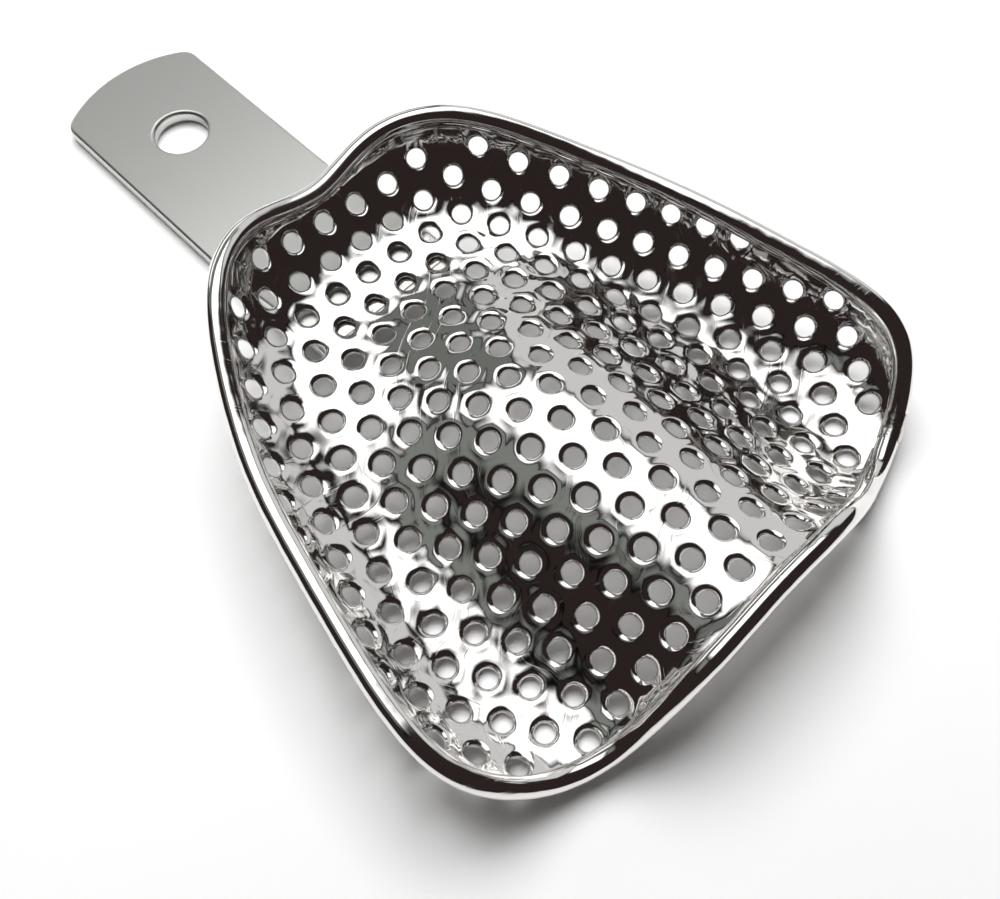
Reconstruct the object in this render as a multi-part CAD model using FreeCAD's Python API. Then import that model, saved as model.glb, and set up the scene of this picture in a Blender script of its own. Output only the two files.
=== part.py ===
import FreeCAD, Part
import math
import os

from FreeCAD import Vector

# A stocked perforated impression tray for the upper jaw: one drawn and perforated
# stainless sheet, a round wire soldered round its whole edge, and a flat bar handle
# brazed under the front of the trough.
#
# Frame: X across the jaw, -Y to the handle, +Z up.  The tray is drawn level, with the
# handle's end on Z = 0, and at the end it is tipped about X so that it stands on Z = 0
# the way it rests on a table: on its two trough bottoms and the flat of the handle.

# --- rim: radius and height every 12 degrees round the hub, from the front (-Y) to the back
HUB_Y = 9.4
RIM_STEP = 12.0
RIM_RADIUS = [33.4, 35.9, 34.1, 31.0, 28.8, 27.4, 26.5, 26.6,
              27.8, 30.3, 33.3, 31.3, 28.3, 25.7, 24.0, 23.3]
RIM_HEIGHT = [11.9, 14.6, 16.4, 15.2, 13.9, 13.5, 13.7, 13.8,
              13.6, 13.7, 13.3, 7.3, 7.2, 15.0, 15.8, 16.0]

# --- sheet
SHEET_THICKNESS = 0.7
WALL_WIDTH = 9.0          # plan width of the rounded wall inside the rim
TROUGH_FLOOR = 5.7        # height of the two side troughs
FRONT_RISE = 2.2          # how much higher the trough runs at the front
RISE_START_Y = 8.0
RISE_LENGTH = 22.0
VAULT_HEIGHT = 7.4        # palate above the trough
VAULT_HALF_WIDTH = 20.0
VAULT_FRONT_Y = -15.0
VAULT_LENGTH = 24.0
VAULT_BACK_SLOPE = 0.05

# --- perforation: a triangular pattern that follows the drawn sheet
HOLE_RADIUS = 0.9
HOLE_PITCH = 3.9
ROW_PITCH = HOLE_PITCH * math.sqrt(3.0) / 2.0
ROW_ORIGIN = (0.6, 9.4)   # the hole that the pattern is counted from
ROW_SLOPE = -0.055
ROW_SAG = 0.0045
PIN_LENGTH = 4.0          # of the cutter through the sheet
HOLE_EDGE_GAP = 1.75      # least distance from a hole's centre to the rim wire's centre
WALK_STEP = 0.05

# --- how finely the drawn surface is laid out
CENTRE_RADIUS = 0.3       # it starts inside the perforation beside the hub
FLOOR_RINGS = 9
WALL_RINGS = 7
AROUND = 72

# --- rim wire and its solder
WIRE_RADIUS = 1.0
JOINT_ANGLE = 228.0       # where the wire's two ends meet, round the hub from the front
JOINT_GAP = 0.5
JOINT_LENGTH = 2.4
JOINT_RADIUS = 1.06
WIRE_SPANS = 90           # points the rim's long curves are drawn through
SEAM_RADIUS = 0.2         # a bead that lies against both the wire and the sheet
SEAM_HALF_GAP = 3.2       # degrees the seam stops short of the middle of the wire's joint
HALVINGS = 24             # steps of the search for the corner the seam lies in

# --- handle bar
HANDLE_X = 1.0            # the bar is brazed on a little off the middle
HANDLE_WIDTH = 17.5
HANDLE_THICKNESS = 1.6
HANDLE_TIP_Y = -62.0
HANDLE_END_RADIUS = 14.5
HANDLE_CORNER_RADIUS = 2.2
HANDLE_HOLE_Y = -49.1
HANDLE_HOLE_RADIUS = 3.0
BEND_FOOT_Y = -31.0       # where the bar leaves the level and climbs to the tray
BEND_HEAD_Y = -18.5
BEND_RADIUS = 5.0
TAB_END_Y = -12.6
TAB_TOP = 7.15            # height of the tab's upper face, just under the front trough
HANDLE_EDGE_RADIUS = 0.45
BRAZE_DEPTH = 3.2
BRAZE_HEIGHT = 4.0        # of the block that the bar and the sheet are cut from
BRAZE_MARGIN = 0.8
BLOCK_BOTTOM = -5.0       # cutting blocks reach from here, well below the bar
BLOCK_HEIGHT = 30.0

# --- standing attitude
REST_TILT = 3.368         # tip about X that brings the troughs and the handle to the table
ORIGIN_Y = -13.6          # middle of the tray's whole length as it stands


def clamp(value):
    return max(0.0, min(1.0, value))


def smooth(value):
    t = clamp(value)
    return t * t * (3.0 - 2.0 * t)


def rim_value(values, angle):
    """Smooth value round the rim: a uniform cubic spline, the same on both sides."""
    last = len(values) - 1
    position = abs((angle + 180.0) % 360.0 - 180.0) / RIM_STEP
    cell = int(position)
    f = position - cell
    weights = [(1.0 - f) ** 3, 3.0 * f ** 3 - 6.0 * f ** 2 + 4.0,
               -3.0 * f ** 3 + 3.0 * f ** 2 + 3.0 * f + 1.0, f ** 3]
    total = 0.0
    for offset, weight in zip((-1, 0, 1, 2), weights):
        index = abs(cell + offset)
        if index > last:
            index = 2 * last - index
        total += weight * values[index]
    return total / 6.0


def rim_point(angle):
    """Centre of the rim wire at an angle round the hub."""
    a = math.radians(angle)
    r = rim_value(RIM_RADIUS, angle)
    return Vector(r * math.sin(a), HUB_Y - r * math.cos(a), rim_value(RIM_HEIGHT, angle))


def base_height(x, y):
    """Trough floor with the palate's vault on it, without the outer wall."""
    floor = TROUGH_FLOOR + FRONT_RISE * smooth((RISE_START_Y - y) / RISE_LENGTH)
    crown = VAULT_HEIGHT * smooth((y - VAULT_FRONT_Y) / VAULT_LENGTH)
    crown += VAULT_BACK_SLOPE * max(0.0, y - VAULT_FRONT_Y - VAULT_LENGTH)
    across = clamp(abs(x) / VAULT_HALF_WIDTH)
    return floor + crown * 0.5 * (1.0 + math.cos(math.pi * across))


def sheet_height(x, y):
    """Height of the sheet's upper face: the base, turned up in a quarter round at the rim."""
    angle = math.degrees(math.atan2(x, HUB_Y - y))
    inward = clamp((rim_value(RIM_RADIUS, angle) - math.hypot(x, y - HUB_Y)) / WALL_WIDTH)
    turned_up = 1.0 - math.sqrt(1.0 - (1.0 - inward) ** 2)
    base = base_height(x, y)
    return base + (rim_value(RIM_HEIGHT, angle) - base) * turned_up


def sheet_point(angle, ring):
    """Point of the upper face; ring 0..1 runs over the floor and 1..2 up the wall."""
    a = math.radians(angle)
    radius = rim_value(RIM_RADIUS, angle)
    inner = radius - WALL_WIDTH
    if ring <= 1.0:
        r = CENTRE_RADIUS + (inner - CENTRE_RADIUS) * ring
    else:
        r = inner + WALL_WIDTH * math.sin(math.pi / 2.0 * (ring - 1.0))
    x = r * math.sin(a)
    y = HUB_Y - r * math.cos(a)
    return Vector(x, y, sheet_height(x, y))


def sheet_normal(angle, ring):
    """Unit normal of the sheet, pointing into the impression side."""
    step = 0.004
    low = max(0.0, ring - step)
    high = min(2.0, ring + step)
    outward = sheet_point(angle, high) - sheet_point(angle, low)
    around = sheet_point(angle + 0.4, ring) - sheet_point(angle - 0.4, ring)
    normal = outward.cross(around)
    normal.normalize()
    return normal


def sheet_face(depth):
    """One face of the sheet, at a depth below its upper face."""
    rings = [i / FLOOR_RINGS for i in range(FLOOR_RINGS)]
    rings += [1.0 + i / WALL_RINGS for i in range(WALL_RINGS + 1)]
    rows = []
    for i in range(AROUND + 1):
        angle = (360.0 / AROUND) * (i % AROUND)
        rows.append([sheet_point(angle, ring) - sheet_normal(angle, ring) * depth for ring in rings])
    surface = Part.BSplineSurface()
    surface.interpolate(rows)
    return surface.toShape()


def closed_edges(face):
    """The face's inner and outer boundary circles, the shorter first."""
    loops = [edge for edge in face.Edges if edge.isClosed()]
    return sorted(loops, key=lambda edge: edge.Length)


def plain_sheet():
    """The drawn sheet before it is perforated."""
    upper = sheet_face(0.0)
    lower = sheet_face(SHEET_THICKNESS)
    bands = [Part.makeRuledSurface(a, b) for a, b in zip(closed_edges(upper), closed_edges(lower))]
    shell = Part.makeCompound([upper, lower] + bands)
    shell.sewShape()
    return Part.Solid(Part.Shell(shell.Faces))


def surface_normal_at(x, y):
    """Unit normal of the upper face over a plan position."""
    step = 0.01
    slope_x = (sheet_height(x + step, y) - sheet_height(x - step, y)) / (2.0 * step)
    slope_y = (sheet_height(x, y + step) - sheet_height(x, y - step)) / (2.0 * step)
    normal = Vector(-slope_x, -slope_y, 1.0)
    normal.normalize()
    return normal


def row_y(start_y, x):
    """Plan line of one row of holes: nearly straight across, with a slight sag."""
    dx = x - ROW_ORIGIN[0]
    return start_y + ROW_SLOPE * dx + ROW_SAG * dx * dx


def room_to_rim(point):
    """Distance from a point of the sheet to the rim wire's centre, at the same angle."""
    angle = math.degrees(math.atan2(point.x, HUB_Y - point.y))
    return point.distanceToPoint(rim_point(angle))


def inside_rim(x, y):
    angle = math.degrees(math.atan2(x, HUB_Y - y))
    return math.hypot(x, y - HUB_Y) < rim_value(RIM_RADIUS, angle) - 0.05


def walk(start, direction, first, pitch, line):
    """Points along the sheet from start outwards, spaced by arc length along a plan line.

    first is the distance to the first point, and line(t) gives the plan position at t.
    """
    points = []
    t = 0.0
    travelled = 0.0
    wanted = first
    here = start
    while True:
        t += WALK_STEP * direction
        x, y = line(t)
        if not inside_rim(x, y):
            return points
        there = Vector(x, y, sheet_height(x, y))
        travelled += there.distanceToPoint(here)
        here = there
        if travelled >= wanted:
            if room_to_rim(here) < HOLE_EDGE_GAP:
                return points
            points.append(here)
            wanted += pitch


def hole_centres():
    """Centres of all perforations on the upper face, row by row."""
    x0, y0 = ROW_ORIGIN
    start = Vector(x0, y0, sheet_height(x0, y0))
    middles = [(0, start)]
    for direction in (1, -1):
        found = walk(start, direction, ROW_PITCH, ROW_PITCH, lambda t: (x0, y0 + t))
        middles += [(i + 1, point) for i, point in enumerate(found)]
    centres = []
    for index, middle in middles:
        shifted = index % 2 == 1
        if not shifted:
            centres.append(middle)
        first = HOLE_PITCH / 2.0 if shifted else HOLE_PITCH
        for direction in (1, -1):
            centres += walk(middle, direction, first, HOLE_PITCH,
                            lambda t: (x0 + t, row_y(middle.y, x0 + t)))
    return centres


def hole_pin(centre):
    """Cutter for one perforation, square to the sheet."""
    normal = surface_normal_at(centre.x, centre.y)
    return Part.makeCylinder(HOLE_RADIUS, PIN_LENGTH, centre - normal * (PIN_LENGTH / 2.0), normal)


def rim_path(first_angle, last_angle, spans):
    """Curve along the centre of the rim wire between two angles."""
    step = (last_angle - first_angle) / spans
    path = Part.BSplineCurve()
    path.interpolate([rim_point(first_angle + step * i) for i in range(spans + 1)])
    return path.toShape()


def round_rod(edge, radius):
    """A round rod along an edge."""
    start = edge.valueAt(edge.FirstParameter)
    section = Part.makeCircle(radius, start, edge.tangentAt(edge.FirstParameter))
    return Part.Wire(edge).makePipeShell([Part.Wire(section)], True, True)


def rim_wire():
    """The round wire along the whole rim, open by a small gap at its joint."""
    half_gap = math.degrees(JOINT_GAP / rim_value(RIM_RADIUS, JOINT_ANGLE)) / 2.0
    path = rim_path(JOINT_ANGLE + half_gap, JOINT_ANGLE + 360.0 - half_gap, WIRE_SPANS)
    return round_rod(path, WIRE_RADIUS)


def wire_joint(wire):
    """The filler that closes the gap between the wire's two ends, dressed a little proud."""
    half = math.degrees(JOINT_LENGTH / rim_value(RIM_RADIUS, JOINT_ANGLE)) / 2.0
    return round_rod(rim_path(JOINT_ANGLE - half, JOINT_ANGLE + half, 4), JOINT_RADIUS).cut(wire)


def seam_point(angle):
    """Inner corner between the rim wire and the sheet's upper face."""
    centre = rim_point(angle)
    low, high = 1.0, 2.0
    for _ in range(HALVINGS):
        ring = (low + high) / 2.0
        if sheet_point(angle, ring).distanceToPoint(centre) > WIRE_RADIUS + SEAM_RADIUS:
            low = ring
        else:
            high = ring
    return sheet_point(angle, ring) + sheet_normal(angle, ring) * SEAM_RADIUS


def rim_seam():
    """The fine bead of solder in the corner between the wire and the sheet."""
    start = JOINT_ANGLE + SEAM_HALF_GAP
    step = (360.0 - 2.0 * SEAM_HALF_GAP) / WIRE_SPANS
    path = Part.BSplineCurve()
    path.interpolate([seam_point(start + step * i) for i in range(WIRE_SPANS + 1)])
    return round_rod(path.toShape(), SEAM_RADIUS)


def as_it_lies(y, z):
    """A point of the level tray's side view, seen with the tray tipped onto the table."""
    t = math.radians(REST_TILT)
    dy = y - HANDLE_TIP_Y
    return HANDLE_TIP_Y + dy * math.cos(t) + z * math.sin(t), z * math.cos(t) - dy * math.sin(t)


def handle_profile():
    """Side outline of the bar, in the Y-Z plane: flat on the table, a ramp, then the brazed tab."""
    rise = TAB_TOP - HANDLE_THICKNESS
    under = [(HANDLE_TIP_Y, 0.0), (BEND_FOOT_Y, 0.0),
             as_it_lies(BEND_HEAD_Y, rise), as_it_lies(TAB_END_Y, rise)]
    leans = [math.atan2(z2 - z1, y2 - y1) for (y1, z1), (y2, z2) in zip(under, under[1:])]
    over = []
    for (y, z), before, after in zip(under, leans[:1] + leans, leans + leans[-1:]):
        middle = (before + after) / 2.0
        reach = HANDLE_THICKNESS / math.cos((after - before) / 2.0)
        over.append((y - reach * math.sin(middle), z + reach * math.cos(middle)))
    points = [Vector(0.0, y, z) for y, z in under + over[::-1]]
    return Part.Face(Part.makePolygon(points + points[:1]))


def handle_blank():
    """Plan outline of the bar as a tall block: straight sides and an arched outer end."""
    half = HANDLE_WIDTH / 2.0
    sag = HANDLE_END_RADIUS - math.sqrt(HANDLE_END_RADIUS ** 2 - half ** 2)
    shoulder = HANDLE_TIP_Y + sag
    left = Vector(-half, shoulder, BLOCK_BOTTOM)
    right = Vector(half, shoulder, BLOCK_BOTTOM)
    arch = Part.Arc(left, Vector(0.0, HANDLE_TIP_Y, BLOCK_BOTTOM), right).toShape()
    far_right = Vector(half, TAB_END_Y + BLOCK_HEIGHT, BLOCK_BOTTOM)
    far_left = Vector(-half, TAB_END_Y + BLOCK_HEIGHT, BLOCK_BOTTOM)
    sides = Part.makePolygon([right, far_right, far_left, left])
    block = Part.Face(Part.Wire([arch] + sides.Edges)).extrude(Vector(0.0, 0.0, BLOCK_HEIGHT))
    corners = [edge for edge in block.Edges
               if abs(edge.Vertexes[0].Y - shoulder) < 0.01 and edge.Length > BLOCK_HEIGHT - 0.01]
    return block.makeFillet(HANDLE_CORNER_RADIUS, corners)


def handle_bar():
    """Flat bar with an arched end, a hanging hole and a double bend up to the level tray."""
    strip = handle_profile().extrude(Vector(HANDLE_WIDTH, 0.0, 0.0))
    strip.translate(Vector(-HANDLE_WIDTH / 2.0, 0.0, 0.0))
    bends = [edge for edge in strip.Edges
             if abs(edge.Length - HANDLE_WIDTH) < 0.01
             and BEND_FOOT_Y - 2.0 < edge.CenterOfMass.y < BEND_HEAD_Y + 1.0]
    strip = strip.makeFillet(BEND_RADIUS, bends)
    bar = strip.common(handle_blank())
    hole = Part.makeCylinder(HANDLE_HOLE_RADIUS, BLOCK_HEIGHT, Vector(0.0, HANDLE_HOLE_Y, BLOCK_BOTTOM))
    bar = bar.cut(hole)
    outline = [edge for edge in bar.Edges if is_long_edge(edge)]
    bar = bar.makeFillet(HANDLE_EDGE_RADIUS, outline)
    bar.translate(Vector(HANDLE_X, 0.0, 0.0))
    bar.rotate(Vector(0.0, HANDLE_TIP_Y, 0.0), Vector(1.0, 0.0, 0.0), REST_TILT)
    return bar


def is_long_edge(edge):
    """Edges of the bar's flat outer part that are rounded over, and the hole's two rims."""
    box = edge.BoundBox
    level = box.ZLength < 0.01 and box.YMax < BEND_FOOT_Y + 0.5
    return level and (box.YLength > 1.0 or box.XLength < HANDLE_WIDTH - 0.1)


def handle_braze(bowl, bar):
    """Thin pad of braze that fills the space between the bar's tab and the trough."""
    width = HANDLE_WIDTH - 2.0 * BRAZE_MARGIN
    corner = Vector(HANDLE_X - width / 2.0, TAB_END_Y - BRAZE_DEPTH - BRAZE_MARGIN, TAB_TOP)
    block = Part.makeBox(width, BRAZE_DEPTH, BRAZE_HEIGHT, corner)
    pieces = block.cut([bowl, bar]).Solids
    return min(pieces, key=lambda solid: solid.CenterOfMass.z)


def stand(shape):
    """Tip a finished piece about the handle's lower end edge, as the tray rests."""
    shape.rotate(Vector(0.0, HANDLE_TIP_Y, 0.0), Vector(1.0, 0.0, 0.0), -REST_TILT)
    shape.translate(Vector(0.0, -ORIGIN_Y, 0.0))
    return shape


def build():
    wire = rim_wire()
    sheet = plain_sheet().cut(wire)
    bowl = sheet.cut([hole_pin(centre) for centre in hole_centres()])
    joint = wire_joint(wire).cut(sheet)
    bar = handle_bar()
    nodes = {
        "tray_bowl": bowl,
        "rim_wire": wire,
        "rim_wire_joint": joint,
        "rim_seam": rim_seam(),
        "handle_bar": bar,
        "handle_braze": handle_braze(sheet, bar),
    }
    os.makedirs("parts", exist_ok=True)
    for name, shape in nodes.items():
        piece = stand(shape)
        piece.exportStep("parts/" + name + ".step")
        print(name, len(piece.Solids), "solid", piece.isValid(), round(piece.Volume, 2), "mm3")


build()
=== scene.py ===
# %% [markdown]
# # A perforated impression tray
# The tray is a shallow horseshoe with a palate, pressed out of one perforated steel sheet.
# A round wire is soldered round its edge and a flat satin bar is brazed under the front.
# The engineering model fixes every size and place, and this notebook gives it its looks.

# %% load the engineering model
import math
import bpy
import numpy as np
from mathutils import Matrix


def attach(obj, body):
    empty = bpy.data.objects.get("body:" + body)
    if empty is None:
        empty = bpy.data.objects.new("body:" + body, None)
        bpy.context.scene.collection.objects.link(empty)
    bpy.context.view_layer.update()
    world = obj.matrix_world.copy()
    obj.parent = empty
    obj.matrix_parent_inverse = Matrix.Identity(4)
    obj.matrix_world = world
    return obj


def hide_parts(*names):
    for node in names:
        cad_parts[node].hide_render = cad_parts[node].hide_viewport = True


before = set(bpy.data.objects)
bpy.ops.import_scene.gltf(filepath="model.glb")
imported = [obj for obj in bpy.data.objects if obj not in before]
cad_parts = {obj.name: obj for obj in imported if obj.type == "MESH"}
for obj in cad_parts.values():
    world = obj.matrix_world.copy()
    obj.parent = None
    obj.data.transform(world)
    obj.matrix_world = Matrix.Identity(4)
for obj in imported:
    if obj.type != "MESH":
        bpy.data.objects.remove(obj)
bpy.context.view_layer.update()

print("pieces in the frame:", sorted(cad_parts))

# %% [markdown]
# ## The edge of the sheet
# The sheet's edge is known by its radius and height every 12 degrees round a hub in the palate.
# A cubic B-spline led by those numbers gives a smooth edge. The same numbers shape the
# engineering model, so the detailed sheet made here falls exactly on it.

# %% the edge of the sheet, millimetres
HUB_Y = 9.4
RIM_STEP = 12.0
RIM_RADIUS = np.array([33.4, 35.9, 34.1, 31.0, 28.8, 27.4, 26.5, 26.6,
                       27.8, 30.3, 33.3, 31.3, 28.3, 25.7, 24.0, 23.3])
RIM_HEIGHT = np.array([11.9, 14.6, 16.4, 15.2, 13.9, 13.5, 13.7, 13.8,
                       13.6, 13.7, 13.3, 7.3, 7.2, 15.0, 15.8, 16.0])


def rim_value(values, angle):
    """Cubic spline round the edge: value = sum of B_k(f) * values[cell + k], k = -1, 0, 1, 2,
    with position = |angle| / 12 degrees, cell = floor(position) and f = position - cell."""
    last = len(values) - 1
    position = np.abs((np.degrees(angle) + 180.0) % 360.0 - 180.0) / RIM_STEP
    cell = np.floor(position).astype(int)
    f = position - cell
    weights = [(1 - f) ** 3, 3 * f**3 - 6 * f**2 + 4, -3 * f**3 + 3 * f**2 + 3 * f + 1, f**3]
    indices = [np.abs(cell + k) for k in (-1, 0, 1, 2)]
    indices = [np.where(i > last, 2 * last - i, i) for i in indices]
    return sum(w * values[i] for w, i in zip(weights, indices)) / 6.0


def edge_line(angle):
    """The edge in space: (r sin a, hub - r cos a, h), with r and h from the two splines."""
    r = rim_value(RIM_RADIUS, angle)
    return np.stack([r * np.sin(angle), HUB_Y - r * np.cos(angle),
                     rim_value(RIM_HEIGHT, angle)], -1)


print("edge at the front", np.round(edge_line(np.array(0.0)), 2), "mm")

# %% [markdown]
# ## Height of the sheet
# The floor of the trough is nearly level and rises a little to the front. The palate is a
# raised cosine across the jaw that grows from front to back. Within 9 mm of the edge the
# sheet turns up along a quarter ellipse, which is how a deep-drawn wall leaves the press.

# %% the height of the upper face
WALL = 9.0
TROUGH, TROUGH_RISE = 5.7, 2.2
RISE_BACK, RISE_FRONT = 8.0, -14.0
PALATE, PALATE_GROWTH = 7.4, 0.05
PALATE_FRONT, PALATE_BACK, PALATE_HALF = -15.0, 9.0, 20.0


def smooth(t):
    """t*t*(3 - 2t), with t held between 0 and 1."""
    t = np.clip(t, 0.0, 1.0)
    return t * t * (3.0 - 2.0 * t)


def sheet_height(x, y):
    """z = base + (edge - base) * (1 - sqrt(1 - u*u)), with u = 1 at the edge and 0 from 9 mm
    inside it, and base = trough + palate * (1 + cos(pi |x| / 20)) / 2."""
    angle = np.arctan2(x, HUB_Y - y)
    base = TROUGH + TROUGH_RISE * smooth((RISE_BACK - y) / (RISE_BACK - RISE_FRONT))
    crown = PALATE * smooth((y - PALATE_FRONT) / (PALATE_BACK - PALATE_FRONT))
    crown = crown + PALATE_GROWTH * np.maximum(0.0, y - PALATE_BACK)
    across = np.clip(np.abs(x) / PALATE_HALF, 0.0, 1.0)
    base = base + crown * 0.5 * (1.0 + np.cos(np.pi * across))
    from_edge = rim_value(RIM_RADIUS, angle) - np.hypot(x, y - HUB_Y)
    u = 1.0 - np.clip(from_edge / WALL, 0.0, 1.0)
    return base + (rim_value(RIM_HEIGHT, angle) - base) * (1.0 - np.sqrt(1.0 - u * u))


print("palate at the hub", round(float(sheet_height(0.0, HUB_Y)), 2), "mm high")

# %% [markdown]
# ## The sheet laid flat
# The wall is too steep to draw on in plan, so points are kept on a sheet unrolled outward
# from the hub, where the wall's plan width becomes its length along the curve.
# The finished tray stands tipped 3.4 degrees, on its two troughs and the handle's end.

# %% from the flat sheet to the standing tray
TILT = math.radians(3.368)
TIP_LINE_Y = -62.0
TO_MIDDLE = 13.6
EDGE = 0.985 * math.pi / 2.0
NUDGE = 0.02


def stand(x, y, z):
    """Turns about the line y = -62, z = 0 by the tilt, moves the middle to 0, gives metres."""
    dy = y - TIP_LINE_Y
    y2 = dy * math.cos(TILT) + z * math.sin(TILT) + TIP_LINE_Y + TO_MIDDLE
    z2 = z * math.cos(TILT) - dy * math.sin(TILT)
    return np.stack([x, y2, z2], -1) * 0.001


def polar(flat):
    """Distance rho from the hub, angle from the front, and the rho at which the wall starts."""
    rho = np.hypot(flat[..., 0], flat[..., 1])
    angle = np.arctan2(flat[..., 0], -flat[..., 1])
    return rho, angle, rim_value(RIM_RADIUS, angle) - WALL


def fold(flat):
    """Level position of a flat point: r = rho up to the wall, and on it
    r = inner + 9 sin((rho - inner) / 9)."""
    rho, angle, inner = polar(flat)
    turn = np.clip((rho - inner) / WALL, 0.0, EDGE)
    r = np.where(rho < inner, rho, inner + WALL * np.sin(turn))
    x = r * np.sin(angle)
    y = HUB_Y - r * np.cos(angle)
    return np.stack([x, y, sheet_height(x, y)], -1)


def past_edge(flat):
    """True where a flat point lies beyond the edge of the sheet."""
    rho, _, inner = polar(flat)
    return (rho - inner) / WALL >= EDGE


def unfold(x, y):
    """Flat point over a plan position: rho = inner + 9 asin((r - inner) / 9) on the wall."""
    r = np.hypot(x, y - HUB_Y)
    angle = np.arctan2(x, HUB_Y - y)
    radius = rim_value(RIM_RADIUS, angle)
    inner = radius - WALL
    turn = np.arcsin(np.clip((r - inner) / WALL, 0.0, 1.0))
    rho = np.where(r < inner, r, inner + WALL * turn + np.maximum(0.0, r - radius))
    return np.stack([rho * np.sin(angle), -rho * np.cos(angle)], -1)


def slopes(flat):
    """Central differences of fold() along the two flat directions, taken just inside the edge."""
    rho, _, inner = polar(flat)
    inside = (inner + WALL * EDGE - 2 * NUDGE) / np.maximum(rho, 1e-6)
    held = flat * np.minimum(1.0, inside)[..., None]
    along_x = (fold(held + [NUDGE, 0.0]) - fold(held - [NUDGE, 0.0])) / (2 * NUDGE)
    along_y = (fold(held + [0.0, NUDGE]) - fold(held - [0.0, NUDGE])) / (2 * NUDGE)
    return along_x, along_y


print("flat length of the front wall", round(WALL * EDGE, 2), "mm")

# %% [markdown]
# ## Marks of the press
# Pressed and hand-buffed metal is never quite smooth: mirror steel shows it as broken
# reflections. Bump alone would leave the outline of each reflection too clean, so slow waves
# a few hundredths of a millimetre high go into the shape itself, fading at the edge.

# %% waves, and the standing place of any point in the sheet
BROAD_WAVE, FINE_WAVE, LIFT = 0.03, 0.012, 0.042
CROWN_HALF, CROWN_SIDE_FADE = 14.0, 6.0
CROWN_FRONT, CROWN_FRONT_FADE = -12.0, 8.0
CALM_FROM, CALM_FADE = 7.0, 6.0


def press_marks(flat):
    """Depth of the waves that pressing leaves in trough and wall, in mm:
    m (0.03 sin(1.7 u + 1.3 sin 0.9 v) sin(1.5 v + 1.1 sin 1.1 u)
    + 0.012 sin(3.1 u - 1.9 v) - 0.042),
    where m falls to 0.2 on the crown of the palate and to 0 at the edge. It is never above 0,
    so the waves only lift the sheet and the tray doesn't sink into the table."""
    u, v = flat[..., 0], flat[..., 1]
    rho, _, inner = polar(flat)
    crown = smooth((CROWN_HALF - np.abs(u)) / CROWN_SIDE_FADE)
    crown = crown * smooth((v - CROWN_FRONT) / CROWN_FRONT_FADE)
    near_edge = smooth((rho - inner - CALM_FROM) / CALM_FADE)
    m = (1.0 - 0.8 * crown) * (1.0 - near_edge)
    broad = np.sin(1.7 * u + 1.3 * np.sin(0.9 * v)) * np.sin(1.5 * v + 1.1 * np.sin(1.1 * u))
    return m * (BROAD_WAVE * broad + FINE_WAVE * np.sin(3.1 * u - 1.9 * v) - LIFT)


def place(flat, depth):
    """Standing point at a depth below the upper face: P - n * depth, n = normalised(Px x Py)."""
    normal = np.cross(*slopes(flat))
    normal /= np.linalg.norm(normal, axis=-1, keepdims=True)
    normal *= np.sign(normal[..., 2:3] + 1e-9)
    point = fold(flat) - normal * (depth + press_marks(flat))[..., None]
    return stand(point[..., 0], point[..., 1], point[..., 2])


print("upper face at the hub", place(np.zeros(2), 0.0).round(5), "m")

# %% [markdown]
# ## Where the holes are
# The sheet was perforated while flat, in rows half a pitch apart, and drawn afterwards.
# So the holes keep their spacing measured along the metal. A table of arc lengths along
# each row turns (row, distance) into a place on the sheet, and it works between rows too,
# which gives the corners of the six-sided cell round each hole.

# %% rows and distances to places on the sheet
PITCH = 3.9
ROW_PITCH = PITCH * math.sqrt(3.0) / 2.0
ROW_PARTS = 15
LAST_PART = 22 * ROW_PARTS
START_X, START_Y = 0.6, 9.4
ROW_SLANT, ROW_BOW = -0.055, 0.0045
ROW_APART = 1000.0
fifteenths = np.arange(-LAST_PART, LAST_PART + 1)
reach = np.arange(-60.0, 60.001, 0.1)


def arc_table(x, y):
    """Arc length along each line of points, counted from the line's middle point."""
    points = np.stack([x, y, sheet_height(x, y)], -1)
    steps = np.linalg.norm(np.diff(points, axis=-2), axis=-1)
    arc = np.concatenate([np.zeros(steps.shape[:-1] + (1,)), np.cumsum(steps, -1)], -1)
    return arc - arc[..., arc.shape[-1] // 2][..., None]


def row_line(t, y_middle):
    """Plan line of a row: y = y_middle - 0.055 t + 0.0045 t*t, x = 0.6 + t."""
    return START_X + t, y_middle + ROW_SLANT * t + ROW_BOW * t * t


middle_arc = arc_table(np.full_like(reach, START_X), START_Y + reach)
middle_y = START_Y + np.interp(fifteenths / ROW_PARTS * ROW_PITCH, middle_arc, reach)
row_t = np.broadcast_to(reach, (len(fifteenths), len(reach)))
row_arcs = arc_table(*row_line(row_t, middle_y[:, None]))
row_keys = (row_arcs + (fifteenths[:, None] + LAST_PART) * ROW_APART).ravel()
row_reach = row_t.ravel()


def lattice(fifteenth, distance):
    """Plan place at a row counted in fifteenths and a distance along it: inverts the table,
    in which each row's arc lengths are set 1000 mm beyond those of the row before."""
    t = np.interp(distance + (fifteenth + LAST_PART) * ROW_APART, row_keys, row_reach)
    return row_line(t, middle_y[fifteenth + LAST_PART])


print("rows tabled:", len(fifteenths))

# %% [markdown]
# ## Which cells carry a hole
# Holes are left out where the wire would cover them. The press moves in steps of 0.05 mm, so
# each hole's place is a whole number of steps, as it is in the engineering model. Each row is
# followed outward from its middle and stops at the first hole with too little room.

# %% places and room of the holes
ROWS, ALONG_ROW = 20, 14
PUNCH_STEP = 0.05
LEAST_ROOM, LEAST_INSIDE = 1.75, 0.05


def next_step(distance):
    """The next whole punch step away from zero: sign(d) * 0.05 * ceil(|d| / 0.05)."""
    return np.sign(distance) * np.ceil(np.abs(distance) / PUNCH_STEP - 1e-6) * PUNCH_STEP


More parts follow.
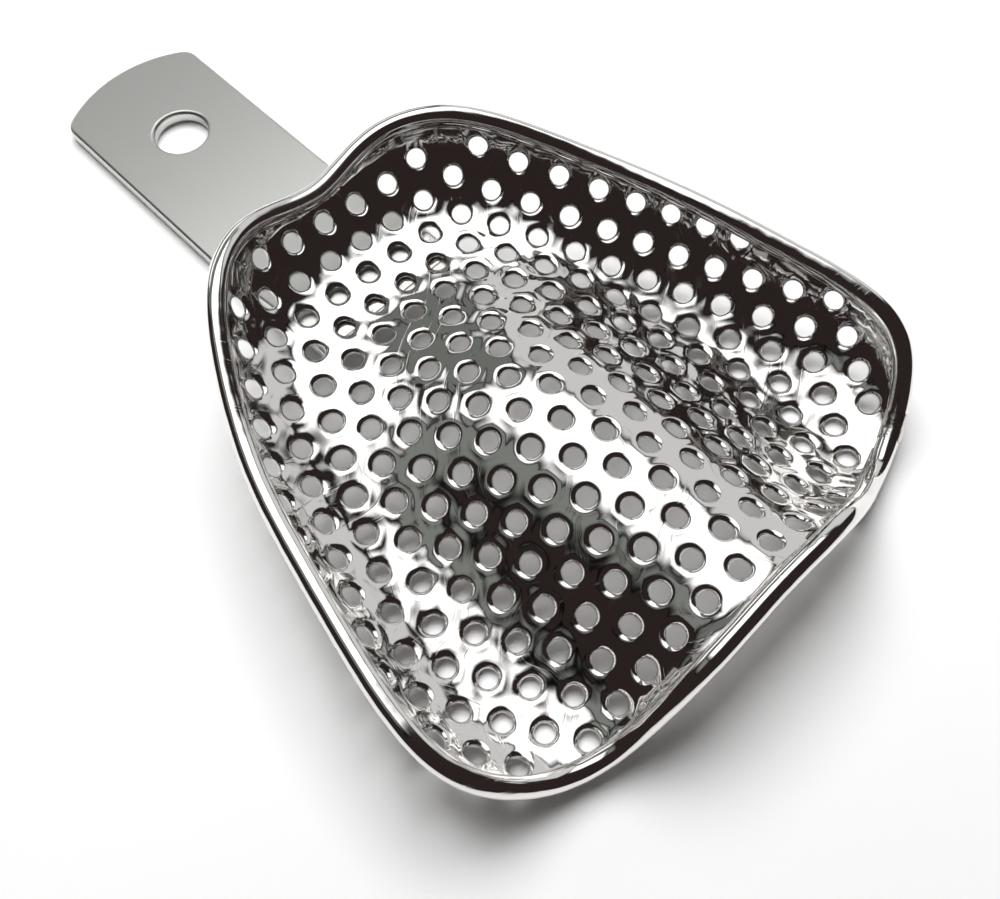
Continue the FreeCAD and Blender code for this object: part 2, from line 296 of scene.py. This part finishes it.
cell_row, cell_step = np.meshgrid(np.arange(-ROWS, ROWS + 1),
                                  np.arange(-ALONG_ROW, ALONG_ROW + 1), indexing="ij")
cell_arc = (cell_step + 0.5 * (cell_row % 2)) * PITCH
cell_part = cell_row * ROW_PARTS
row_middle = START_Y + next_step(middle_y[cell_part + LAST_PART] - START_Y)
centre_t = next_step(lattice(cell_part, cell_arc)[0] - START_X)
centre_x, centre_y = row_line(centre_t, row_middle)
centre_angle = np.arctan2(centre_x, HUB_Y - centre_y)
centre_point = np.stack([centre_x, centre_y, sheet_height(centre_x, centre_y)], -1)

roomy = np.linalg.norm(centre_point - edge_line(centre_angle), axis=-1) >= LEAST_ROOM
centre_r = np.hypot(centre_x, centre_y - HUB_Y)
roomy &= centre_r < rim_value(RIM_RADIUS, centre_angle) - LEAST_INSIDE
right = np.logical_and.accumulate(roomy[:, ALONG_ROW:], axis=1)
left = np.logical_and.accumulate(roomy[:, ALONG_ROW - 1::-1], axis=1)[:, ::-1]
left &= np.where(cell_row[:, :1] % 2 == 1, True, roomy[:, ALONG_ROW:ALONG_ROW + 1])
holed = np.concatenate([left, right], axis=1)
print("holes:", int(holed.sum()))

# %% [markdown]
# ## Cells of the sheet
# Each hole sits in a six-sided cell, and neighbouring cells share their corners, so the
# sheet is one closed skin. Rings run from the cell's edge in to the hole, over its softly
# rounded lip, down the bore and out again underneath. Cells too near the edge stay plain.
# Cutting the holes with a Boolean would leave slivers and hard lips; polishing has rolled
# the real lips over, and rings follow that.

# %% the outline of every cell
CORNERS = np.array([(1, -0.5), (1, 0.5), (0, 1), (-1, 0.5), (-1, -0.5), (0, -1)])
SIDE_PARTS = 5
AROUND = len(CORNERS) * SIDE_PARTS
TENTHS = 10
HALF_WIDTH = 5
CORNER_RISE = 10

share = np.arange(SIDE_PARTS)[None, :, None] / SIDE_PARTS
outline = CORNERS[:, None] * (1 - share) + np.roll(CORNERS, -1, 0)[:, None] * share
outline = outline.reshape(AROUND, 2)
side_tenths = np.round(outline[:, 0] * HALF_WIDTH).astype(int)
side_fifteenths = np.round(outline[:, 1] * CORNER_RISE).astype(int)
cell_tenths = np.round(cell_arc / PITCH * TENTHS).astype(int)
corner_tenths = cell_tenths[..., None] + side_tenths
corner_fifteenths = np.clip(cell_part[..., None] + side_fifteenths, -LAST_PART, LAST_PART)

corner_flat = unfold(*lattice(corner_fifteenths, corner_tenths * PITCH / TENTHS))
centre_flat = unfold(centre_x, centre_y)
used = ~past_edge(corner_flat).all(-1) | ~past_edge(centre_flat)
print("cells on the sheet:", int(used.sum()))

# %% [markdown]
# ## Rings of a cell
# A ring is a list of distances from the middle of its cell and one depth in the sheet. On the
# unrolled sheet a round hole isn't round, so distances are first turned into true ones on
# the metal with the local stretch of the sheet.

# %% build the rings of every cell
SHEET = 0.7
HOLE = 0.9
LIP_WIDTH = 0.50
LIP_DEPTHS = [0.0, 0.0, -0.02, 0.02, 0.11, 0.26]
HOLE_DEPTHS = LIP_DEPTHS + [SHEET - d for d in reversed(LIP_DEPTHS)]
PLAIN_DEPTHS = [0.0, 0.0, 0.0, SHEET, SHEET, SHEET]


def cell_rings(mask, radii, depths):
    """Ring points W = W0 + A v/|v| rho, where A = (J'J)^(-1/2) makes rho a true distance on the
    metal, v = inverse(A)(corner - W0), and rho = radii(|v|) for each ring."""
    w0 = centre_flat[mask]
    jacobian = np.stack(slopes(w0), -1)
    values, vectors = np.linalg.eigh(np.swapaxes(jacobian, -1, -2) @ jacobian)
    stretch = np.sqrt(values)[..., None, :]
    grow = (vectors * stretch) @ np.swapaxes(vectors, -1, -2)
    shrink = (vectors / stretch) @ np.swapaxes(vectors, -1, -2)
    v = np.einsum("cij,csj->csi", grow, corner_flat[mask] - w0[:, None])
    length = np.linalg.norm(v, axis=-1)
    way = v / length[..., None]
    rings = [w0[:, None] + np.einsum("cij,csj->csi", shrink, way * radii(k, length)[..., None])
             for k in range(len(depths))]
    flat = np.stack(rings, 1)
    return flat, place(flat, np.broadcast_to(np.array(depths)[None, :, None], flat.shape[:-1]))


def hole_radii(k, length):
    """The cell's edge, half way, then 1.40, 1.22, 1.04 and 0.90 mm from the hole's centre, or
    closer together where the cell is narrow; the lower rings repeat the upper ones."""
    k = min(k, len(HOLE_DEPTHS) - 1 - k)
    lip = np.minimum(LIP_WIDTH, 0.5 * (length - HOLE))
    return [length, 0.5 * (length + HOLE + lip), HOLE + lip, HOLE + 0.64 * lip,
            HOLE + 0.28 * lip, np.full_like(length, HOLE)][k]


def plain_radii(k, length):
    """The cell's edge, six tenths of the way out and a small middle ring, above and below."""
    return length * [1.0, 0.6, 0.05][min(k, len(PLAIN_DEPTHS) - 1 - k)]


hole_mask = holed & used
plain_mask = used & ~holed
hole_flat, hole_points = cell_rings(hole_mask, hole_radii, HOLE_DEPTHS)
plain_flat, plain_points = cell_rings(plain_mask, plain_radii, PLAIN_DEPTHS)
print("cells with a hole", len(hole_points), "and plain", len(plain_points))

# %% [markdown]
# ## One closed skin
# The cells' corner points are welded by their lattice numbers, which is exact where welding
# by distance would be a guess. Faces that fall wholly past the edge are dropped, and the
# open border left there is closed from top to bottom. That border is buried in the rim wire.

# %% number the points of every cell
PRIVATE = 9999


def grid_faces(cells, rings, capped, start):
    """Point numbers, and quads between neighbouring rings; the two middle rings of a capped
    cell stay apart, to be closed by a cap each."""
    number = start + np.arange(cells * rings * AROUND).reshape(cells, rings, AROUND)
    following = np.roll(number, -1, 2)
    quads = np.stack([number[:, :-1], following[:, :-1], following[:, 1:], number[:, 1:]], -1)
    if capped:
        quads = np.concatenate([quads[:, :rings // 2 - 1], quads[:, rings // 2:]], 1)
    return number, quads.reshape(-1, 4)


def corner_keys(mask, number):
    """Three whole numbers for each point: shared for cell corners, private inside a cell."""
    unused = np.full_like(number, PRIVATE)
    keys = np.stack([number, unused, unused], -1)
    for ring, side in ((0, 0), (-1, 1)):
        keys[:, ring, :, 0] = corner_tenths[mask]
        keys[:, ring, :, 1] = corner_fifteenths[mask]
        keys[:, ring, :, 2] = side
    return keys.reshape(-1, 3)


def on_upper_face(number):
    """True for the points of the first half of each cell's rings."""
    rings = number.shape[1]
    return np.broadcast_to((np.arange(rings) < rings // 2)[:, None], number.shape).ravel()


hole_number, hole_quads = grid_faces(len(hole_points), len(HOLE_DEPTHS), False, 0)
plain_number, plain_quads = grid_faces(len(plain_points), len(PLAIN_DEPTHS), True,
                                       hole_number.size)
print("points before welding:", hole_number.size + plain_number.size)

# %% weld the cells
keys = np.concatenate([corner_keys(hole_mask, hole_number), corner_keys(plain_mask, plain_number)])
_, first, welded = np.unique(keys, axis=0, return_index=True, return_inverse=True)
welded = welded.ravel()

points = np.concatenate([hole_points.reshape(-1, 3), plain_points.reshape(-1, 3)])
beyond = np.concatenate([past_edge(hole_flat).ravel(), past_edge(plain_flat).ravel()])
upper = np.concatenate([on_upper_face(hole_number), on_upper_face(plain_number)])
partner = np.concatenate([hole_number[:, ::-1].ravel(), plain_number[:, ::-1].ravel()])
skin_points = points[first]
skin_beyond = beyond[first]
skin_upper = upper[first]
skin_partner = welded[partner[first]]

faces = welded[np.concatenate([hole_quads, plain_quads])]
faces = faces[~skin_beyond[faces].all(1)]
caps_top = welded[plain_number[:, 2]]
caps_low = welded[plain_number[:, 3]][:, ::-1]
keep_cap = ~skin_beyond[caps_top].any(1)
caps_top, caps_low = caps_top[keep_cap], caps_low[keep_cap]
print("skin points", len(skin_points), "quads", len(faces), "caps", 2 * len(caps_top))

# %% close the border
edges = np.concatenate([np.stack([ring, np.roll(ring, -1, 1)], -1).reshape(-1, 2)
                        for ring in (faces, caps_top, caps_low)])
_, which, count = np.unique(np.sort(edges, 1), axis=0, return_inverse=True, return_counts=True)
border = edges[count[which.ravel()] == 1]
border = border[skin_upper[border].all(1)]
rim_quads = np.stack([border[:, 1], border[:, 0],
                      skin_partner[border[:, 0]], skin_partner[border[:, 1]]], 1)
print("border quads", len(rim_quads))


# %% make a mesh from arrays
def make_piece(name, vertices, polygons):
    """A mesh object at the origin with smooth faces."""
    mesh = bpy.data.meshes.new(name)
    mesh.from_pydata(vertices.tolist(), [], polygons)
    mesh.polygons.foreach_set("use_smooth", np.ones(len(mesh.polygons), dtype=bool))
    mesh.validate()
    mesh.update()
    piece = bpy.data.objects.new(name, mesh)
    bpy.context.scene.collection.objects.link(piece)
    return piece


polygons = faces.tolist() + rim_quads.tolist() + caps_top.tolist() + caps_low.tolist()
perforated_sheet = make_piece("perforated_sheet", skin_points, polygons)
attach(perforated_sheet, "root")
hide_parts("tray_bowl")
print("sheet faces", len(perforated_sheet.data.polygons))

# %% [markdown]
# ## Rim wire
# A drawn round wire follows the edge. It was bent by hand, soldered and dressed with a fine
# file, so it is a touch flat along its top by the front notch and slightly uneven elsewhere.
# It could be a bent curve with a round bevel; a tube from its own formula lets the file
# marks lie exactly along the wire.

# %% the wire as a tube
WIRE = 1.0
ALONG_WIRE, ROUND_WIRE = 720, 24
FILED_DEPTH, FILED_WIDTH = 0.05, 0.06


def rim_wire(along, around):
    """P = C(a) + rho (cos(t) N + sin(t) B), where C follows the edge, B is nearly up, and
    rho = 1 - filed - uneven, the little that the file and bending have taken off."""
    tangent = edge_line(along + 1e-3) - edge_line(along - 1e-3)
    tangent /= np.linalg.norm(tangent, axis=-1, keepdims=True)
    outward = np.stack([np.sin(along), -np.cos(along), np.zeros_like(along)], -1)
    outward -= tangent * (outward * tangent).sum(-1, keepdims=True)
    outward /= np.linalg.norm(outward, axis=-1, keepdims=True)
    upward = np.cross(tangent, outward)
    upward *= np.sign(upward[..., 2:3])
    notch = np.exp(-(np.sin(along / 2.0) / FILED_WIDTH) ** 2)
    filed = FILED_DEPTH * notch * np.maximum(0.0, np.sin(around)) ** 4
    slow = 0.006 * (1.0 + np.sin(37.0 * along + 2.0 * np.sin(around)))
    quick = 0.004 * (1.0 + np.sin(91.0 * along))
    rho = (WIRE - filed - (slow + quick))[..., None]
    point = edge_line(along) + rho * (np.cos(around)[..., None] * outward
                                      + np.sin(around)[..., None] * upward)
    return stand(point[..., 0], point[..., 1], point[..., 2])


a, t = np.meshgrid(np.arange(ALONG_WIRE) * 2 * np.pi / ALONG_WIRE,
                   np.arange(ROUND_WIRE) * 2 * np.pi / ROUND_WIRE, indexing="ij")
number = np.arange(ALONG_WIRE * ROUND_WIRE).reshape(ALONG_WIRE, ROUND_WIRE)
next_along = np.roll(number, -1, 0)
wire_quads = np.stack([number, next_along, np.roll(next_along, -1, 1), np.roll(number, -1, 1)], -1)
wire = make_piece("soldered_rim_wire", rim_wire(a, t).reshape(-1, 3),
                  wire_quads.reshape(-1, 4).tolist())
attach(wire, "root")
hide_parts("rim_wire")
print("wire faces", len(wire.data.polygons))

# %% [markdown]
# ## Shared finishes
# Metal is told apart by its fine marks, so two marks are made once and shared: a slow ripple
# left by drawing and buffing, and hairline scratches. Each is a small group that gives a
# value, and every metal uses them in its own strength.

# %% helpers for nodes and groups
def node(tree, kind, **settings):
    """A shader node with its settings; a name that starts with in__ sets an input's value."""
    made = tree.nodes.new(kind)
    for key, value in settings.items():
        if key.startswith("in__"):
            made.inputs[key[4:].replace("_", " ")].default_value = value
        else:
            setattr(made, key, value)
    return made


def new_group(name, inputs, output):
    """A node group with float inputs and one float output."""
    group = bpy.data.node_groups.new(name, "ShaderNodeTree")
    for title, value in inputs:
        socket = group.interface.new_socket(title, in_out="INPUT", socket_type="NodeSocketFloat")
        socket.default_value = value
    group.interface.new_socket(output, in_out="OUTPUT", socket_type="NodeSocketFloat")
    return group, group.nodes.new("NodeGroupInput"), group.nodes.new("NodeGroupOutput")


# %% slow ripple: cloudy noise whose size is given in millimetres
MM_PER_METRE = 1000.0
ripple, given, gives = new_group("slow ripple", [("Size", 6.0), ("Detail", 2.0)], "Height")
place_in = node(ripple, "ShaderNodeTexCoord")
per_metre = node(ripple, "ShaderNodeMath", operation="DIVIDE")
per_metre.inputs[0].default_value = MM_PER_METRE
clouds = node(ripple, "ShaderNodeTexNoise", in__Roughness=0.45)
ripple.links.new(given.outputs["Size"], per_metre.inputs[1])
ripple.links.new(per_metre.outputs[0], clouds.inputs["Scale"])
ripple.links.new(given.outputs["Detail"], clouds.inputs["Detail"])
ripple.links.new(place_in.outputs["Object"], clouds.inputs["Vector"])
ripple.links.new(clouds.outputs["Fac"], gives.inputs["Height"])
print("group:", ripple.name)

# %% [markdown]
# ## Hairline scratches
# A buffing wheel leaves long, nearly straight hairs that wander a little. Noise squeezed
# along one direction gives the hairs, a slow noise turns that direction from place to place,
# and only the peaks above the sparseness are kept.

# %% hairline scratches: stretched noise, slowly turned
WANDER = 0.9
SQUEEZE = (1.0, 0.035, 0.3)
SHARPNESS = 14.0
scratches, given, gives = new_group(
    "hairline scratches", [("Turn", 0.6), ("Fineness", 900.0), ("Sparseness", 0.66)], "Mask")
place_in = node(scratches, "ShaderNodeTexCoord")
bent = node(scratches, "ShaderNodeTexNoise", in__Scale=90.0, in__Detail=1.0)
turned = node(scratches, "ShaderNodeVectorRotate", rotation_type="Z_AXIS")
bend_amount = node(scratches, "ShaderNodeMath", operation="MULTIPLY_ADD")
bend_amount.inputs[1].default_value = WANDER
stretch = node(scratches, "ShaderNodeVectorMath", operation="MULTIPLY")
stretch.inputs[1].default_value = SQUEEZE
lines = node(scratches, "ShaderNodeTexNoise", in__Detail=3.0, in__Roughness=0.6)
above = node(scratches, "ShaderNodeMath", operation="SUBTRACT")
sharpen = node(scratches, "ShaderNodeMath", operation="MULTIPLY", use_clamp=True)
sharpen.inputs[1].default_value = SHARPNESS
scratches.links.new(place_in.outputs["Object"], bent.inputs["Vector"])
scratches.links.new(bent.outputs["Fac"], bend_amount.inputs[0])
scratches.links.new(given.outputs["Turn"], bend_amount.inputs[2])
scratches.links.new(place_in.outputs["Object"], turned.inputs["Vector"])
scratches.links.new(bend_amount.outputs[0], turned.inputs["Angle"])
scratches.links.new(turned.outputs["Vector"], stretch.inputs[0])
scratches.links.new(stretch.outputs["Vector"], lines.inputs["Vector"])
scratches.links.new(given.outputs["Fineness"], lines.inputs["Scale"])
scratches.links.new(lines.outputs["Fac"], above.inputs[0])
scratches.links.new(given.outputs["Sparseness"], above.inputs[1])
scratches.links.new(above.outputs[0], sharpen.inputs[0])
scratches.links.new(sharpen.outputs[0], gives.inputs["Mask"])
print("groups:", [g.name for g in bpy.data.node_groups])

# %% [markdown]
# ## One way to make every metal
# All the metals here differ only in colour, in how smooth they are and in the strength of the
# two marks, so one function makes them. The ripple bends reflections, and the scratches are
# both a little rougher and a few millionths of a metre deep.


# %% the metal
def metal(name, color, smooth_to, rough_to, ripple_size, ripple_depth, turn, fineness,
          sparseness, cut):
    """Principled metal: roughness between two values where the scratches are, and a bump made
    of the ripple (depth in metres) less the scratches (cut in metres)."""
    material = bpy.data.materials.new(name)
    material.use_nodes = True
    tree = material.node_tree
    shader = tree.nodes["Principled BSDF"]
    shader.inputs["Base Color"].default_value = (*color, 1.0)
    shader.inputs["Metallic"].default_value = 1.0
    waves = node(tree, "ShaderNodeGroup", node_tree=ripple, in__Size=ripple_size)
    marks = node(tree, "ShaderNodeGroup", node_tree=scratches, in__Turn=turn,
                 in__Fineness=fineness, in__Sparseness=sparseness)
    rough = node(tree, "ShaderNodeMapRange", in__To_Min=smooth_to, in__To_Max=rough_to)
    broad = node(tree, "ShaderNodeBump", in__Strength=1.0, in__Distance=ripple_depth)
    fine = node(tree, "ShaderNodeBump", in__Strength=1.0, in__Distance=cut, invert=True)
    tree.links.new(marks.outputs["Mask"], rough.inputs["Value"])
    tree.links.new(rough.outputs["Result"], shader.inputs["Roughness"])
    tree.links.new(waves.outputs["Height"], broad.inputs["Height"])
    tree.links.new(marks.outputs["Mask"], fine.inputs["Height"])
    tree.links.new(broad.outputs["Normal"], fine.inputs["Normal"])
    tree.links.new(fine.outputs["Normal"], shader.inputs["Normal"])
    return material


# %% [markdown]
# ## Metals of the tray
# The sheet and the wire are stainless steel, buffed to a mirror. The handle is the same
# steel left with a fine blasted satin. The solder is a little greyer and softer. Mirror steel
# has almost no colour of its own: its look comes from the light and the dark room round it.

# %% finishes and what they go on
mirror = metal("buffed stainless sheet", (0.80, 0.785, 0.77), smooth_to=0.065, rough_to=0.18,
               ripple_size=7.0, ripple_depth=0.00009, turn=0.4, fineness=1500.0,
               sparseness=0.60, cut=0.000004)
bright_wire = metal("dressed stainless wire", (0.84, 0.83, 0.81), smooth_to=0.08, rough_to=0.20,
                    ripple_size=2.5, ripple_depth=0.00003, turn=1.9, fineness=1800.0,
                    sparseness=0.62, cut=0.000003)
solder = metal("silver solder", (0.66, 0.64, 0.61), smooth_to=0.16, rough_to=0.34,
               ripple_size=0.9, ripple_depth=0.00008, turn=0.2, fineness=1800.0,
               sparseness=0.62, cut=0.000004)
satin = metal("blasted satin steel", (0.67, 0.675, 0.65), smooth_to=0.34, rough_to=0.28,
              ripple_size=0.12, ripple_depth=0.000003, turn=2.5, fineness=700.0,
              sparseness=0.66, cut=0.000001)

perforated_sheet.data.materials.append(mirror)
wire.data.materials.append(bright_wire)
for title, finish in (("handle_bar", satin), ("handle_braze", solder),
                      ("rim_seam", solder), ("rim_wire_joint", solder)):
    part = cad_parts[title]
    part.data.materials.clear()
    part.data.materials.append(finish)
print("metals:", [m.name for m in bpy.data.materials])

# %% [markdown]
# ## The filed patch of the wire
# The wire by the front notch was filed once more and left grey. Painting that by hand would
# need a texture; the distance from one point of the wire does it, adding roughness that
# fades out over a few millimetres.

# %% more roughness near one point
PATCH_INNER, PATCH_OUTER = 0.002, 0.009
PATCH_ROUGHNESS = 0.14
tree = bright_wire.node_tree
where = node(tree, "ShaderNodeTexCoord")
apart = node(tree, "ShaderNodeVectorMath", operation="DISTANCE")
apart.inputs[1].default_value = rim_wire(np.array(0.0), np.array(1.0)).tolist()
filed_patch = node(tree, "ShaderNodeMapRange", in__From_Min=PATCH_INNER,
                   in__From_Max=PATCH_OUTER, in__To_Min=PATCH_ROUGHNESS, in__To_Max=0.0)
both = node(tree, "ShaderNodeMath", operation="ADD")
shader = tree.nodes["Principled BSDF"]
tree.links.new(where.outputs["Object"], apart.inputs[0])
tree.links.new(apart.outputs["Value"], filed_patch.inputs["Value"])
tree.links.new(shader.inputs["Roughness"].links[0].from_socket, both.inputs[0])
tree.links.new(filed_patch.outputs["Result"], both.inputs[1])
tree.links.new(both.outputs[0], shader.inputs["Roughness"])
print("filed patch at", [round(v, 4) for v in apart.inputs[1].default_value])

# %% [markdown]
# ## Table
# The tray lies on a plain white table. It is a single square of paper white, a hair below the
# tray so that the handle's underside and the table never fight for the same place.

# %% the table
TABLE_HALF = 0.6
TABLE_Z = -0.00005
PAPER_WHITE = (0.93, 0.93, 0.93, 1.0)
corners = np.array([(-1, -1, 0), (1, -1, 0), (1, 1, 0), (-1, 1, 0)]) * TABLE_HALF
table = make_piece("table", corners + (0.0, 0.0, TABLE_Z), [(0, 1, 2, 3)])
paper = bpy.data.materials.new("white paper")
paper.use_nodes = True
paper_shader = paper.node_tree.nodes["Principled BSDF"]
paper_shader.inputs["Base Color"].default_value = PAPER_WHITE
paper_shader.inputs["Roughness"].default_value = 0.9
table.data.materials.append(paper)
print("table", 2 * TABLE_HALF, "m square")

# %% [markdown]
# ## Softboxes
# Mirror steel shows the lamps themselves, so each softbox is a card that glows evenly in the
# middle and fades to nothing at its edges. A plain area lamp would show a hard square.
# Bright cards overhead, beside and in front give the white faces, dim ones the grey, and
# the dark behind the tray gives the black flanks.

# %% a card that glows
FADE = 0.13


def card_glow(name, radiance, color, size):
    """Glow = radiance * s(a) * s(b), where a and b are the distances to the nearest edges
    over FADE and s is the smooth step."""
    material = bpy.data.materials.new(name)
    material.use_nodes = True
    tree = material.node_tree
    tree.nodes.remove(tree.nodes["Principled BSDF"])
    glow = node(tree, "ShaderNodeEmission", in__Color=(*color, 1.0))
    own = node(tree, "ShaderNodeUVMap", uv_map="card")
    split = node(tree, "ShaderNodeSeparateXYZ")
    product = node(tree, "ShaderNodeMath", operation="MULTIPLY")
    scaled = node(tree, "ShaderNodeMath", operation="MULTIPLY")
    scaled.inputs[1].default_value = radiance
    tree.links.new(own.outputs["UV"], split.inputs[0])
    for axis in (0, 1):
        to_edge = node(tree, "ShaderNodeMath", operation="PINGPONG")
        to_edge.inputs[1].default_value = 0.5
        ramp = node(tree, "ShaderNodeMapRange", interpolation_type="SMOOTHSTEP",
                    in__From_Max=min(0.5, FADE / size[axis]))
        tree.links.new(split.outputs[axis], to_edge.inputs[0])
        tree.links.new(to_edge.outputs[0], ramp.inputs["Value"])
        tree.links.new(ramp.outputs["Result"], product.inputs[axis])
    tree.links.new(product.outputs[0], scaled.inputs[0])
    tree.links.new(scaled.outputs[0], glow.inputs["Strength"])
    tree.links.new(glow.outputs[0], tree.nodes["Material Output"].inputs["Surface"])
    return material


def soft_card(name, location, facing, size, radiance, color=(1.0, 1.0, 1.0)):
    """Rectangle centre + (i - 1/2) w U + (j - 1/2) h V, with U level and V = facing x U."""
    facing = np.array(facing) / np.linalg.norm(facing)
    level = np.cross((0.0, 0.0, 1.0), facing)
    slant = np.linalg.norm(level)
    level = level / slant if slant > 1e-6 else np.array([1.0, 0.0, 0.0])
    rise = np.cross(facing, level)
    corners = np.array([(0.0, 0.0), (1.0, 0.0), (1.0, 1.0), (0.0, 1.0)])
    offsets = (corners - 0.5) * np.array(size)
    vertices = np.array(location) + offsets[:, :1] * level + offsets[:, 1:] * rise
    card = make_piece(name, vertices, [(0, 1, 2, 3)])
    card.data.uv_layers.new(name="card").data.foreach_set("uv", corners.ravel())
    card.data.materials.append(card_glow(name + "_glow", radiance, color, size))


# %% the cards round the tray
DOWN = (0.0, 0.0, -1.0)
GREENISH = (0.95, 1.0, 0.93)
soft_card("overhead_softbox", (-0.13, -0.21, 0.50), DOWN, (0.74, 0.52), 1.9)
soft_card("grey_card", (0.27, -0.26, 0.52), DOWN, (0.42, 0.56), 0.24, GREENISH)
soft_card("side_softbox", (-0.78, -0.30, 0.34), (0.84, 0.36, -0.38), (1.00, 0.80), 0.70)
soft_card("front_softbox", (-0.12, -0.76, 0.30), (0.12, 0.76, -0.30), (0.90, 0.34), 1.30)
soft_card("front_card", (-0.14, -0.88, 0.55), (0.14, 0.86, -0.50), (1.40, 1.10), 0.18, GREENISH)

# %% [markdown]
# ## Table lamp and room
# One ordinary lamp, which the steel doesn't mirror, brings the table up to white and gives
# the soft shadow. The room is nearly black to everything but the camera's own view of it,
# where a dark background would frame the white table.

# %% the lamp and the dark room
COLOUR_A, COLOUR_B, COLOUR_RESULT = 6, 7, 2
DARK_ROOM = (0.026, 0.019, 0.018, 1.0)
PALE_BACKGROUND = (0.75, 0.75, 0.75, 1.0)
lamp_data = bpy.data.lights.new("table lamp", "AREA")
lamp_data.size = 0.48
lamp_data.energy = 3.9
lamp = bpy.data.objects.new("table lamp", lamp_data)
lamp.location = (-0.20, -0.24, 0.47)
lamp.visible_glossy = False
bpy.context.scene.collection.objects.link(lamp)

room = bpy.data.worlds.new("dark room")
room.use_nodes = True
room_tree = room.node_tree
light_path = room_tree.nodes.new("ShaderNodeLightPath")
seen = node(room_tree, "ShaderNodeMix", data_type="RGBA")
seen.inputs[COLOUR_A].default_value = DARK_ROOM
seen.inputs[COLOUR_B].default_value = PALE_BACKGROUND
room_tree.links.new(light_path.outputs["Is Camera Ray"], seen.inputs[0])
room_tree.links.new(seen.outputs[COLOUR_RESULT], room_tree.nodes["Background"].inputs["Color"])
bpy.context.scene.world = room
bpy.context.scene.view_settings.view_transform = "Standard"

# %% [markdown]
# ## Camera
# The camera looks down into the tray over one of its back corners, close enough for some
# perspective. It is placed with its turns given in degrees.

# %% the camera
lens = bpy.data.cameras.new("camera")
lens.sensor_width = 36.0
lens.lens = 39.25
lens.clip_start = 0.005
camera = bpy.data.objects.new("camera", lens)
camera.location = (0.036759, 0.055028, 0.093251)
camera.rotation_euler = [math.radians(v) for v in (27.861, 1.209, 135.396)]
bpy.context.scene.collection.objects.link(camera)
bpy.context.scene.camera = camera
print("camera at", [round(v, 3) for v in camera.location], "m")
